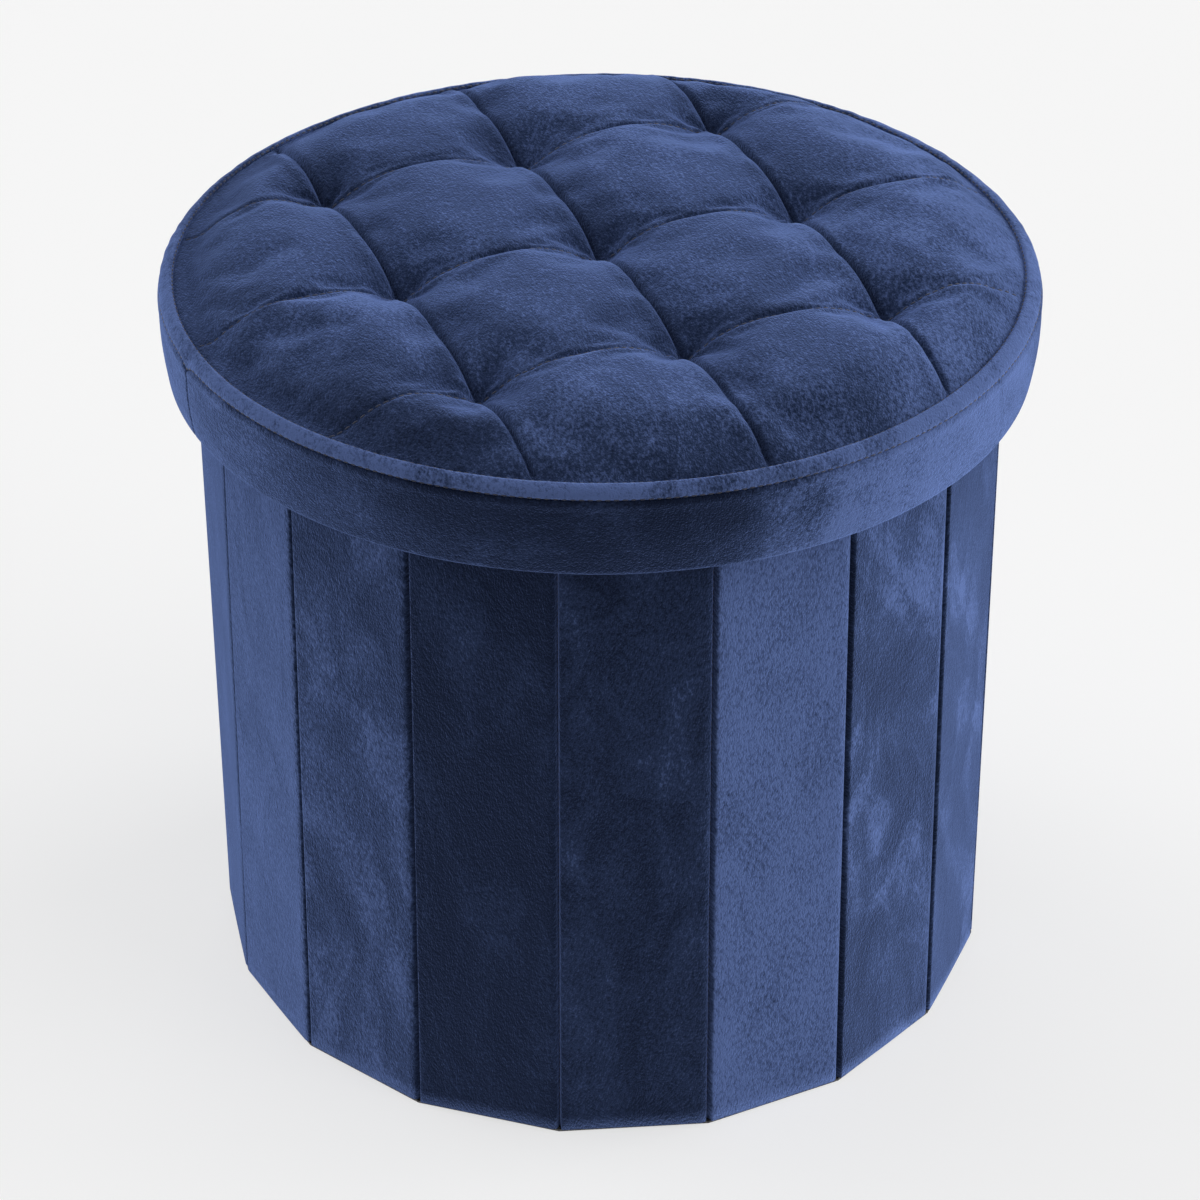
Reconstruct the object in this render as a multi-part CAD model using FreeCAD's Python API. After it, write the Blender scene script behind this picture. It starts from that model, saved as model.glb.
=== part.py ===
import FreeCAD
import Part
import math
import os

# Round storage ottoman: a ring of stiff leaves in velvet pockets, a loose base board
# and a loose padded lid whose skirt hangs over the rim. Millimetres, +Z up, origin on
# the floor under the middle. A flat side of the wall faces -Y.

# ---- Driving dimensions -----------------------------------------------------------
WALL_SIDES = 16            # flat sides of the wall
WALL_WIDTH = 361.0         # across opposite corners, outside the velvet
WALL_HEIGHT = 336.0        # floor to the rim that the lid rests on
VELVET = 1.2               # pile fabric
LINING = 0.8               # non-woven lining
LEAF_THICKNESS = 3.5       # stiff leaf inside each pocket
LEAF_GAP = 6.0             # space between neighbouring leaves, where the wall can bend
HEM_DEPTH = 22.0           # velvet turned over the rim and down the inside
SEAM_WIDTH = 1.6           # stitched strip between two pockets
FLOOR_CLOTH = 1.0          # sheet sewn across the bottom of the ring
CLOTH_INSET = 0.6          # floor cloth edge, in from the velvet's face

BASE_BOARD = 5.0           # loose board that holds the ring open
BASE_CLEARANCE = 2.5       # covered base board to lining
BASE_TURNUNDER = 25.0      # cover glued under the board's edge
TAB_WIDTH = 25.0
TAB_HEIGHT = 40.0          # the tab's loop above the base board
TAB_PLY = 0.6              # the tab's ribbon, folded double
TAB_TUCK = 1.0             # the tab's ends above the board's underside

LID_CLEARANCE = 10.0       # wall corners to the skirt's lining
LID_BOARD = 9.0
HOOP = 3.5                 # bent hoop that carries the skirt
SKIRT_DROP = 20.0          # how far the skirt reaches below the rim
SKIRT_PAD_LOW = 3.0        # padding outside the hoop, at the skirt's lower edge
SKIRT_PAD_HIGH = 6.0       # padding outside the hoop, at the border seam
SKIRT_EDGE = 3.0           # radius of the skirt's lower edge
SKIRT_BULGE = 1.2          # outward bow of the skirt between its edges
BORDER_RISE = 12.0         # top of the lid board to the border
BORDER_WIDTH = 7.0         # flat band round the quilted top
CROWN_RISE = 22.2          # border to the top of the crown
SHOULDER_WIDTH = 34.0      # where the quilted top turns up from the border
SHOULDER_RISE = 14.0

LID_TURN = 17.0            # how far the loose lid is turned from the wall, degrees
TUFTS_PER_ROW = 3
TUFT_MARGIN = 56.7         # corner tuft to the quilted top's edge
DIMPLE_RADIUS = 30.0       # width of each dimple at the crown
DIMPLE_FLOOR = 3.0         # flat bottom of each dimple
TWINE_RADIUS = 1.0
TWINE_HOLE = 3.0           # radius drilled in the lid board
KNOT_RADIUS = 2.4
BUTTON_RADIUS = 10.0
BUTTON_THICKNESS = 3.0
STAPLE_COUNT = 24
STAPLE_CROWN = 10.0
STAPLE_WIRE = 0.7
STAPLE_LEG = 6.0

# ---- Sizes that follow ------------------------------------------------------------
HALF_TURN = math.pi / WALL_SIDES
SIDE_ANGLE = 360.0 / WALL_SIDES
WALL_FACE = WALL_WIDTH / 2 * math.cos(HALF_TURN)      # axis to the outside of a side
LEAF_OUT = WALL_FACE - VELVET
LEAF_IN = LEAF_OUT - LEAF_THICKNESS
LINING_IN = LEAF_IN - LINING
WALL_FOOT = FLOOR_CLOTH
WALL_HEM = WALL_HEIGHT - HEM_DEPTH

BASE_FACE = LINING_IN - BASE_CLEARANCE                # outside of the covered board
BASE_FOOT = FLOOR_CLOTH
BASE_TOP = BASE_FOOT + 2 * LINING + BASE_BOARD

SKIRT_IN = WALL_WIDTH / 2 + LID_CLEARANCE             # radius inside the skirt's lining
HOOP_IN = SKIRT_IN + LINING
HOOP_OUT = HOOP_IN + HOOP
SKIRT_LOW_RADIUS = HOOP_OUT + SKIRT_PAD_LOW + VELVET
LID_RADIUS = HOOP_OUT + SKIRT_PAD_HIGH + VELVET
SKIRT_FOOT = WALL_HEIGHT - SKIRT_DROP
BOARD_FOOT = WALL_HEIGHT + LINING
BOARD_TOP = BOARD_FOOT + LID_BOARD
BORDER_TOP = BOARD_TOP + BORDER_RISE
CROWN_TOP = BORDER_TOP + CROWN_RISE
QUILT_RADIUS = LID_RADIUS - BORDER_WIDTH
TUFT_PITCH = (QUILT_RADIUS - TUFT_MARGIN) * math.sqrt(2) / (TUFTS_PER_ROW - 1)
STAPLE_CIRCLE = (WALL_WIDTH / 2 + SKIRT_IN) / 2       # between the wall and the skirt


def save(shape, name):
    shape.exportStep("parts/" + name + ".step")


def point(x, y, z):
    return FreeCAD.Vector(x, y, z)


def turned(shape, degrees):
    copy = shape.copy()
    copy.rotate(point(0, 0, 0), point(0, 0, 1), degrees)
    return copy


def polygon_prism(face_distance, low, high):
    """Solid with the wall's number of sides, face_distance from axis to each face."""
    radius = face_distance / math.cos(HALF_TURN)
    corners = []
    for side in range(WALL_SIDES + 1):
        angle = -math.pi / 2 + HALF_TURN + side * 2 * HALF_TURN
        corners.append(point(radius * math.cos(angle), radius * math.sin(angle), low))
    outline = Part.makePolygon(corners)
    return Part.Face(outline).extrude(point(0, 0, high - low))


def mitred_slab(inner, outer, low, high):
    """One side of a ring between two face distances, mitred at its corners, facing -Y."""
    inner_half = inner * math.tan(HALF_TURN)
    outer_half = outer * math.tan(HALF_TURN)
    corners = [
        point(-inner_half, -inner, low),
        point(-outer_half, -outer, low),
        point(outer_half, -outer, low),
        point(inner_half, -inner, low),
    ]
    outline = Part.makePolygon(corners + corners[:1])
    return Part.Face(outline).extrude(point(0, 0, high - low))


def disc(radius, low, high):
    return Part.makeCylinder(radius, high - low, point(0, 0, low))


def ring(inner, outer, low, high):
    return disc(outer, low, high).cut(disc(inner, low, high))


def spun(edges):
    """Solid of revolution about Z from a closed outline in the XZ plane."""
    outline = Part.Wire(edges)
    return Part.Face(outline).revolve(point(0, 0, 0), point(0, 0, 1), 360)


def line(start, end):
    return Part.makeLine(point(start[0], 0, start[1]), point(end[0], 0, end[1]))


def arc(start, middle, end):
    spots = [point(spot[0], 0, spot[1]) for spot in (start, middle, end)]
    return Part.Arc(*spots).toShape()


def tuft_places():
    """Middle of each tuft, on a square grid turned with the lid."""
    turn = math.radians(LID_TURN)
    middle = (TUFTS_PER_ROW - 1) / 2
    places = []
    for row in range(TUFTS_PER_ROW):
        for column in range(TUFTS_PER_ROW):
            along = (column - middle) * TUFT_PITCH
            across = (row - middle) * TUFT_PITCH
            x = along * math.cos(turn) - across * math.sin(turn)
            y = along * math.sin(turn) + across * math.cos(turn)
            places.append((x, y))
    return places


# ---- Wall -------------------------------------------------------------------------
def wall_board():
    """Stiff leaf that fills one pocket of the wall."""
    half_width = LEAF_IN * math.tan(HALF_TURN) - LEAF_GAP / 2
    low = WALL_FOOT
    height = WALL_HEIGHT - VELVET - low
    return Part.makeBox(2 * half_width, LEAF_THICKNESS, height, point(-half_width, -LEAF_OUT, low))


def velvet_strip():
    """Velvet over one leaf, turned over the rim and hemmed inside."""
    face = mitred_slab(LEAF_OUT, WALL_FACE, WALL_FOOT, WALL_HEIGHT)
    rim = mitred_slab(LINING_IN, WALL_FACE, WALL_HEIGHT - VELVET, WALL_HEIGHT)
    hem = mitred_slab(LINING_IN, LEAF_IN, WALL_HEM, WALL_HEIGHT)
    return face.fuse([rim, hem]).removeSplitter()


def inner_lining():
    """Non-woven tube behind the leaves, up to the velvet hem."""
    outer = polygon_prism(LEAF_IN, WALL_FOOT, WALL_HEM)
    return outer.cut(polygon_prism(LINING_IN, WALL_FOOT, WALL_HEM))


def corner_seams():
    """Seam allowances that part the pockets, one at each corner."""
    top = WALL_HEIGHT - VELVET
    band = polygon_prism(LEAF_OUT, WALL_FOOT, top).cut(polygon_prism(LEAF_IN, WALL_FOOT, top))
    blade = Part.makeBox(SEAM_WIDTH, WALL_WIDTH, top, point(-SEAM_WIDTH / 2, -WALL_WIDTH, 0))
    blade = turned(blade, SIDE_ANGLE / 2)
    seam = band.common(blade)
    return Part.makeCompound([turned(seam, side * SIDE_ANGLE) for side in range(WALL_SIDES)])


def build_wall():
    board = wall_board()
    strip = velvet_strip()
    for side in range(WALL_SIDES):
        number = "%02d" % (side + 1)
        save(turned(board, side * SIDE_ANGLE), "wall_board_" + number)
        save(turned(strip, side * SIDE_ANGLE), "velvet_strip_" + number)
    save(inner_lining(), "inner_lining")
    save(corner_seams(), "corner_seams")
    save(polygon_prism(WALL_FACE - CLOTH_INSET, 0, FLOOR_CLOTH), "floor_cloth")


# ---- Base board -------------------------------------------------------------------
def base_board():
    return polygon_prism(BASE_FACE - LINING, BASE_FOOT + LINING, BASE_TOP - LINING)


def base_board_cover():
    """Non-woven over the board's top and edge, glued under its rim."""
    sleeve = polygon_prism(BASE_FACE, BASE_FOOT, BASE_TOP)
    window = polygon_prism(BASE_FACE - BASE_TURNUNDER, BASE_FOOT, BASE_FOOT + LINING)
    return sleeve.cut(base_board()).cut(window)


def pull_tab():
    """Ribbon folded double, sewn to the board's edge and standing up against the wall."""
    outside = -(BASE_FACE + 2 * TAB_PLY)
    foot = BASE_FOOT + TAB_TUCK
    fold = BASE_TOP + TAB_HEIGHT - TAB_PLY
    ribbon = Part.makeBox(TAB_WIDTH, 2 * TAB_PLY, fold - foot, point(-TAB_WIDTH / 2, outside, foot))
    bend = Part.makeCylinder(TAB_PLY, TAB_WIDTH, point(-TAB_WIDTH / 2, outside + TAB_PLY, fold),
                             point(1, 0, 0))
    return ribbon.fuse(bend).removeSplitter()


def build_base():
    save(base_board(), "base_board")
    save(base_board_cover(), "base_board_cover")
    save(pull_tab(), "pull_tab")


# ---- Lid --------------------------------------------------------------------------
def dome(inset):
    """Crowned top above the border, taken in by inset all over."""
    foot = BORDER_TOP - VELVET
    edge = QUILT_RADIUS - inset
    shoulder = edge - SHOULDER_WIDTH
    shoulder_top = BORDER_TOP + SHOULDER_RISE - inset
    crown = CROWN_TOP - inset
    bow = (edge - SHOULDER_WIDTH * 0.22, BORDER_TOP + SHOULDER_RISE * 0.6 - inset)
    rise = crown - shoulder_top
    half_way = (shoulder / 2, shoulder_top + rise * 0.75)
    return spun([
        line((0, foot), (edge, foot)),
        line((edge, foot), (edge, BORDER_TOP - inset / 2)),
        arc((edge, BORDER_TOP - inset / 2), bow, (shoulder, shoulder_top)),
        arc((shoulder, shoulder_top), half_way, (0, crown)),
        line((0, crown), (0, foot)),
    ])


def dimples(inset):
    """Funnels that the tufts pull into the top, grown by inset."""
    low = BORDER_TOP - inset
    height = CROWN_RISE + 2 * VELVET
    funnels = []
    for x, y in tuft_places():
        funnels.append(Part.makeCone(DIMPLE_FLOOR + inset, DIMPLE_RADIUS + inset, height, point(x, y, low)))
    return Part.makeCompound(funnels)


def twine_rods(radius, low, high):
    rods = [Part.makeCylinder(radius, high - low, point(x, y, low)) for x, y in tuft_places()]
    return Part.makeCompound(rods)


def top_cover():
    """Quilted velvet top, a sheet with a dimple at each tuft."""
    outside = dome(0).cut(dimples(0))
    inside = dome(VELVET).cut(dimples(VELVET))
    return outside.cut(inside)


def seat_foam():
    """Foam under the quilted top, resting on the board and the hoop."""
    block = disc(HOOP_OUT, BOARD_TOP, BORDER_TOP - VELVET)
    crown = dome(VELVET).cut(dimples(VELVET))
    foam = block.fuse(crown).removeSplitter()
    return foam.cut(twine_rods(TWINE_RADIUS, BOARD_TOP, BORDER_TOP))


def skirt_outline(inset):
    """Edges from the border seam down to the skirt's lower edge, taken in by inset."""
    foot = SKIRT_FOOT + inset
    round_top = SKIRT_FOOT + SKIRT_EDGE
    low_radius = SKIRT_LOW_RADIUS - inset
    seam = (LID_RADIUS - inset, BORDER_TOP - VELVET)
    turn = (low_radius, round_top)
    middle_radius = (LID_RADIUS + SKIRT_LOW_RADIUS) / 2 + SKIRT_BULGE - inset
    middle = (middle_radius, (seam[1] + round_top) / 2)
    bend = SKIRT_EDGE - inset
    corner = (low_radius - bend * (1 - math.sqrt(0.5)), round_top - bend * math.sqrt(0.5))
    under = (low_radius - bend, foot)
    return seam, under, [arc(seam, middle, turn), arc(turn, corner, under)]


def skirt_body(inset, inner):
    """Ring between the skirt's outline and a plain inner radius."""
    seam, under, edges = skirt_outline(inset)
    closing = [
        line(under, (inner, under[1])),
        line((inner, under[1]), (inner, seam[1])),
        line((inner, seam[1]), seam),
    ]
    return spun(edges + closing)


def skirt_cover():
    """Velvet round the skirt, turned under the hoop."""
    return skirt_body(0, SKIRT_IN).cut(skirt_body(VELVET, SKIRT_IN - VELVET))


def skirt_padding():
    return skirt_body(VELVET, HOOP_OUT)


def lid_board():
    board = disc(HOOP_IN, BOARD_FOOT, BOARD_TOP)
    return board.cut(twine_rods(TWINE_HOLE, BOARD_FOOT, BOARD_TOP))


def lid_liner():
    sheet = disc(HOOP_IN, WALL_HEIGHT, BOARD_FOOT)
    return sheet.cut(twine_rods(TWINE_RADIUS, WALL_HEIGHT, BOARD_FOOT))


def back_buttons():
    """Plastic discs that the twines pull against, under the liner."""
    low = WALL_HEIGHT - BUTTON_THICKNESS
    discs = twine_rods(BUTTON_RADIUS, low, WALL_HEIGHT).Solids
    holes = twine_rods(TWINE_RADIUS, low, WALL_HEIGHT)
    buttons = []
    for button in discs:
        rim = button.Edges
        lower_rim = [edge for edge in rim if abs(edge.BoundBox.ZMax - low) < 1e-6]
        buttons.append(button.makeFillet(BUTTON_THICKNESS * 0.4, lower_rim).cut(holes))
    return Part.makeCompound(buttons)


def tuft_twines():
    """Twine from each dimple down to a knot under its button."""
    knot_top = WALL_HEIGHT - BUTTON_THICKNESS
    twines = []
    for x, y in tuft_places():
        rod = Part.makeCylinder(TWINE_RADIUS, BORDER_TOP - VELVET - knot_top, point(x, y, knot_top))
        knot = Part.makeSphere(KNOT_RADIUS, point(x, y, knot_top - KNOT_RADIUS))
        neck = Part.makeCylinder(TWINE_RADIUS, KNOT_RADIUS, point(x, y, knot_top - KNOT_RADIUS))
        twines.append(rod.fuse([neck, knot]).removeSplitter())
    return Part.makeCompound(twines)


def liner_staples():
    """Staples that hold the liner's edge to the lid board."""
    half = STAPLE_CROWN / 2
    wire = STAPLE_WIRE
    low = WALL_HEIGHT - wire
    crown = Part.makeBox(STAPLE_CROWN, wire, wire, point(-half, -STAPLE_CIRCLE, low))
    left = Part.makeBox(wire, wire, STAPLE_LEG, point(-half, -STAPLE_CIRCLE, low))
    right = Part.makeBox(wire, wire, STAPLE_LEG, point(half - wire, -STAPLE_CIRCLE, low))
    staple = crown.fuse([left, right]).removeSplitter()
    step = 360.0 / STAPLE_COUNT
    return Part.makeCompound([turned(staple, number * step) for number in range(STAPLE_COUNT)])


def build_lid():
    save(lid_board(), "lid_board")
    save(ring(HOOP_IN, HOOP_OUT, SKIRT_FOOT + VELVET, BOARD_TOP), "skirt_hoop")
    save(skirt_padding(), "skirt_padding")
    save(seat_foam(), "seat_foam")
    save(top_cover(), "top_cover")
    save(ring(QUILT_RADIUS, LID_RADIUS, BORDER_TOP - VELVET, BORDER_TOP), "border_band")
    save(skirt_cover(), "skirt_cover")
    save(ring(SKIRT_IN, HOOP_IN, SKIRT_FOOT + VELVET, WALL_HEIGHT), "skirt_lining")
    save(lid_liner(), "lid_liner")
    save(tuft_twines(), "tuft_twines")
    save(back_buttons(), "back_buttons")
    save(liner_staples(), "liner_staples")


os.makedirs("parts", exist_ok=True)
build_wall()
build_base()
build_lid()
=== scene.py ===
import math

import bmesh
import bpy
from mathutils import Matrix, Vector, noise
from mathutils.bvhtree import BVHTree


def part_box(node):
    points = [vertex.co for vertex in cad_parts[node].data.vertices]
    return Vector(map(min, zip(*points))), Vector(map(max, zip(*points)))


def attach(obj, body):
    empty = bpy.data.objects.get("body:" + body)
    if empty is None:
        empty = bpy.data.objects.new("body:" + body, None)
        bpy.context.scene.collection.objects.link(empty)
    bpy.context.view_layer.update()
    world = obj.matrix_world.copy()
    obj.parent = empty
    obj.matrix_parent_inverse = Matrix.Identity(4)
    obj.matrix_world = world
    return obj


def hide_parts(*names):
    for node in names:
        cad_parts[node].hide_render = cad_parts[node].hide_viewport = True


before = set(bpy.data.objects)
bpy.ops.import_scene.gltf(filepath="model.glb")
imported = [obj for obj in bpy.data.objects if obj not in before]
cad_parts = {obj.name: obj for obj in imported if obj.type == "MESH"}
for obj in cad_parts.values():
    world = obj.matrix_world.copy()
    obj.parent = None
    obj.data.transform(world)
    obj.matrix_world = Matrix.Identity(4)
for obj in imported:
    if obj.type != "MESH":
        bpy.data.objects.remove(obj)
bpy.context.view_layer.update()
MM = 0.001

# ---- Floor cloth ------------------------------------------------------------------
# A sheet of black non-woven cloth, sewn across the bottom of the ring so that nothing
# falls out. The same cloth lines the wall, the base board and the lid's underside.


def socket(node, name, side="inputs"):
    """A node's socket of that name, the one in use."""
    return next(s for s in getattr(node, side) if s.name == name and s.enabled)


def add_node(tree, kind, settings=None, **values):
    """A node of that kind; settings are its properties, values its unlinked inputs."""
    node = tree.nodes.new(kind)
    for key, value in (settings or {}).items():
        setattr(node, key, value)
    for key, value in values.items():
        socket(node, key.replace("_", " ")).default_value = value
    return node


def connect(tree, start, out_name, end, in_name):
    """Links an output of one node to an input of another."""
    tree.links.new(socket(start, out_name, "outputs"), socket(end, in_name))


def new_group(name, inputs, outputs):
    """An empty shader group with named sockets: (name, type, default) and (name, type)."""
    group = bpy.data.node_groups.new(name, "ShaderNodeTree")
    for socket_name, kind, default in inputs:
        made = group.interface.new_socket(socket_name, in_out="INPUT", socket_type="NodeSocket" + kind)
        if default is not None:
            made.default_value = default
    for socket_name, kind in outputs:
        group.interface.new_socket(socket_name, in_out="OUTPUT", socket_type="NodeSocket" + kind)
    return group, group.nodes.new("NodeGroupInput"), group.nodes.new("NodeGroupOutput")


def new_material(name, **values):
    """A material with a Principled shader; values set its own sockets."""
    material = bpy.data.materials.new(name)
    material.use_nodes = True
    tree = material.node_tree
    shader = next(n for n in tree.nodes if n.type == "BSDF_PRINCIPLED")
    for key, value in values.items():
        shader.inputs[key.replace("_", " ")].default_value = value
    return material, tree, shader


def maths(tree, operation, *values):
    """The result of a Math node fed with sockets and plain numbers, in that order."""
    node = add_node(tree, "ShaderNodeMath", {"operation": operation})
    for slot, value in zip(node.inputs, values):
        if isinstance(value, bpy.types.NodeSocket):
            tree.links.new(value, slot)
        else:
            slot.default_value = value
    return node.outputs[0]


def add_bump(tree, shader, height, distance):
    """A bump on the shader's normal, that high where the height socket is 1."""
    bump = add_node(tree, "ShaderNodeBump", Distance=distance)
    tree.links.new(height, bump.inputs["Height"])
    connect(tree, bump, "Normal", shader, "Normal")
    return bump


def add_tones(tree, shader, mask, dark, light):
    """A base colour that runs from dark to light as the mask socket goes from 0 to 1."""
    tone = add_node(tree, "ShaderNodeValToRGB")
    tone.color_ramp.elements[0].color = (*dark, 1)
    tone.color_ramp.elements[1].color = (*light, 1)
    tree.links.new(mask, tone.inputs["Fac"])
    connect(tree, tone, "Color", shader, "Base Color")
    return tone.color_ramp.elements


def finish_node(name, material):
    """Gives a CAD node its finish."""
    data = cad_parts[name].data
    data.materials.clear()
    data.materials.append(material)


def make_nonwoven(name, colour):
    """Spun cloth with its grid of pressed dots, 2 mm apart."""
    material, tree, shader = new_material(name, Roughness=0.85, Sheen_Weight=0.25, Sheen_Roughness=0.5)
    place = add_node(tree, "ShaderNodeTexCoord")
    dots = add_node(tree, "ShaderNodeTexVoronoi", {"feature": "F1"}, Scale=500.0, Randomness=0.15)
    fibre = add_node(tree, "ShaderNodeTexNoise", Scale=900.0, Detail=3.0)
    patch = add_node(tree, "ShaderNodeTexNoise", Scale=25.0, Detail=4.0)
    for texture in (dots, fibre, patch):
        connect(tree, place, "Object", texture, "Vector")
    blend = maths(tree, "MULTIPLY_ADD", fibre.outputs["Fac"], 0.5, patch.outputs["Fac"])
    add_tones(tree, shader, blend, [c * 0.6 for c in colour], [c * 1.5 for c in colour])
    height = maths(tree, "MULTIPLY_ADD", dots.outputs["Distance"], 900.0, fibre.outputs["Fac"])
    add_bump(tree, shader, height, 0.15 * MM)
    return material


lining_black = make_nonwoven("lining_black", (0.030, 0.030, 0.034))
SIDES = sum(name.startswith("wall_board_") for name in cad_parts)
HALF_TURN = math.pi / SIDES
RIM_RADIUS = -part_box("velvet_strip_01")[0].y / math.cos(HALF_TURN)
# How far each corner stands out from a true ring at the floor and high up, corner 01|02 first.
# The wall folds flat at two opposite corners, 04|05 and 12|13, and they still spring out.
CORNERS_LOW = tuple(v * MM for v in (-1.0, -1.5, -1.5, 2.4, -1.5, -1.5, -1.0, -1.0,
                                     -1.0, -1.5, -1.5, 3.8, -2.5, -3.2, -2.4, -1.0))
CORNERS_HIGH = tuple(v * MM for v in (-1.0, -1.8, -1.0, 5.6, -1.0, -1.5, -1.5, -1.5,
                                      -1.5, -1.5, -1.0, 9.2, -1.0, -2.0, -2.2, -1.0))
SPRING_HEIGHT = 0.3


def facing(azimuth):
    """The level direction outwards at an azimuth, which runs from the front to the right."""
    return Vector((math.sin(azimuth), -math.cos(azimuth), 0))


def corner_way(corner):
    """The level direction outwards at a corner of the true ring."""
    return facing(2 * HALF_TURN * (corner + 0.5))


def spring(bm):
    """Moves a piece made for a true ring to the wall's sprung shape, its sides kept flat."""
    for vert in bm.verts:
        spot = vert.co.xy
        turns = (math.atan2(spot.x, -spot.y) / (2 * HALF_TURN) - 0.5) % SIDES
        first = int(turns) % SIDES
        second = (first + 1) % SIDES
        start, end = corner_way(first).xy, corner_way(second).xy
        rise = min(max(vert.co.z / SPRING_HEIGHT, 0.0), 1.0)
        vert.co.xy = (0, 0)
        for corner, way, share in ((first, start, spot.cross(end)), (second, end, start.cross(spot))):
            out = CORNERS_LOW[corner] + (CORNERS_HIGH[corner] - CORNERS_LOW[corner]) * rise
            vert.co.xy += way * share / start.cross(end) * (1 + out / RIM_RADIUS)


def mesh_object(name, bm, material, smooth=True):
    """Turns a bmesh into a linked object at the origin."""
    mesh = bpy.data.meshes.new(name)
    bm.to_mesh(mesh)
    bm.free()
    mesh.materials.append(material)
    for face in mesh.polygons:
        face.use_smooth = smooth
    piece = bpy.data.objects.new(name, mesh)
    bpy.context.scene.collection.objects.link(piece)
    return piece


cloth_low, cloth_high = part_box("floor_cloth")
bm = bmesh.new()
bmesh.ops.create_circle(bm, cap_ends=True, segments=SIDES, radius=-cloth_low.y / math.cos(HALF_TURN),
                        matrix=Matrix.Rotation(HALF_TURN, 4, "Z"))
raised = bmesh.ops.extrude_face_region(bm, geom=bm.faces[:], use_keep_orig=True)["geom"]
for item in raised:
    if isinstance(item, bmesh.types.BMVert):
        item.co.z = cloth_high.z
bmesh.ops.recalc_face_normals(bm, faces=bm.faces)
spring(bm)
sheet = mesh_object("floor_cloth_sewn", bm, lining_black, smooth=False)
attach(sheet, "wall")
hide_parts("floor_cloth")

# ---- Wall leaves ------------------------------------------------------------------
# Sixteen thin fibreboard leaves stiffen the wall. Each slides into its own pocket
# between the velvet and the lining, and stops short of the seams so the wall can bend.


def make_fibreboard(name, colour):
    """Pressed wood fibre: flecked, matt, slightly furry at the cut."""
    material, tree, shader = new_material(name, Roughness=0.75)
    place = add_node(tree, "ShaderNodeTexCoord")
    fleck = add_node(tree, "ShaderNodeTexNoise", Scale=700.0, Detail=6.0, Roughness=0.7)
    patch = add_node(tree, "ShaderNodeTexNoise", Scale=18.0, Detail=3.0)
    for texture in (fleck, patch):
        connect(tree, place, "Object", texture, "Vector")
    mix = maths(tree, "MULTIPLY_ADD", patch.outputs["Fac"], 0.4, fleck.outputs["Fac"])
    ramp = add_tones(tree, shader, mix, [c * 0.55 for c in colour], [c * 1.35 for c in colour])
    ramp[0].position, ramp[1].position = 0.4, 0.95
    add_bump(tree, shader, fleck.outputs["Fac"], 0.1 * MM)
    return material


fibreboard = make_fibreboard("fibreboard", (0.40, 0.27, 0.16))
board_low, board_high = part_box("wall_board_01")
for side in range(SIDES):
    bm = bmesh.new()
    bmesh.ops.create_cube(bm, size=1.0)
    bmesh.ops.subdivide_edges(bm, edges=bm.edges, cuts=3, use_grid_fill=True)
    shape = Matrix.Diagonal((*(board_high - board_low), 1))
    turn = Matrix.Rotation(2 * HALF_TURN * side, 4, "Z")
    shift = Matrix.Translation((board_low + board_high) / 2)
    bmesh.ops.transform(bm, verts=bm.verts, matrix=turn @ shift @ shape)
    spring(bm)
    leaf = mesh_object("leaf_%02d" % (side + 1), bm, fibreboard, smooth=False)
    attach(leaf, "wall")
    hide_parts("wall_board_%02d" % (side + 1))

# ---- Wall lining ------------------------------------------------------------------
# The tube of non-woven cloth behind the leaves, which forms the backs of the pockets. It
# hangs a little loose between its seams.
lining_low, lining_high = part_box("inner_lining")
LINING_OUT = -board_high.y
LINING_PLY = 0.8 * MM
LINING_SLACK = 0.5 * MM
LINING_COLUMNS, LINING_ROWS = 12, 30


def lining_tube():
    """The tube's outer face, a grid rolled up side by side, slack between the corners."""
    bm = bmesh.new()
    bmesh.ops.create_grid(bm, x_segments=SIDES * LINING_COLUMNS, y_segments=LINING_ROWS, size=1.0)
    for vert in bm.verts:
        column = round((vert.co.x + 1) / 2 * SIDES * LINING_COLUMNS)
        row = round((vert.co.y + 1) / 2 * LINING_ROWS)
        side = column // LINING_COLUMNS % SIDES
        share = 2 * (column % LINING_COLUMNS) / LINING_COLUMNS - 1
        height = lining_low.z + (lining_high.z - lining_low.z) * row / LINING_ROWS
        slack = max(0.0, noise.noise((side * 2.3 + share, height * 14, 3.0))) * (1 - share ** 2)
        away = LINING_OUT - LINING_SLACK * slack * min(1.0, row / 3, (LINING_ROWS - row) / 3)
        place = Vector((share * away * math.tan(HALF_TURN), -away, height))
        vert.co = Matrix.Rotation(2 * HALF_TURN * side, 3, "Z") @ place
    bmesh.ops.remove_doubles(bm, verts=bm.verts, dist=1e-6)
    bmesh.ops.recalc_face_normals(bm, faces=bm.faces)
    spring(bm)
    return bm


tube = mesh_object("lining_tube", lining_tube(), lining_black)
tube_ply = tube.modifiers.new("ply", "SOLIDIFY")
tube_ply.thickness = LINING_PLY
tube_ply.offset = -1
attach(tube, "wall")
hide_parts("inner_lining")

# ---- Velvet strips ----------------------------------------------------------------
# One strip of velvet covers each leaf, sewn to its neighbours at the corners. Its left
# edge rolls tightly into the seam and its right edge slopes off the leaf's edge. The
# top is turned over the rim and hemmed inside. Each strip's pile lies its own way, and
# each strip's tone also carries painted light and shade.
strip_low, strip_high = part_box("velvet_strip_01")
WALL_FACE = -strip_low.y
WALL_FOOT = strip_low.z
WALL_TOP = strip_high.z
RIM_DEPTH = strip_high.y - strip_low.y
HEM_DROP = 22 * MM
HALF_SIDE = strip_high.x
SEAM_DEPTH = 4.2 * MM
LIP_DEPTH = 1.2 * MM
SLIT_WIDTH = 0.75 * MM
LEFT_ROLL = 1.8 * MM
RIGHT_SLOPE = 3.9 * MM
RIM_ROUND = 1.7 * MM
VELVET_PLY = 1.0 * MM
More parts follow.
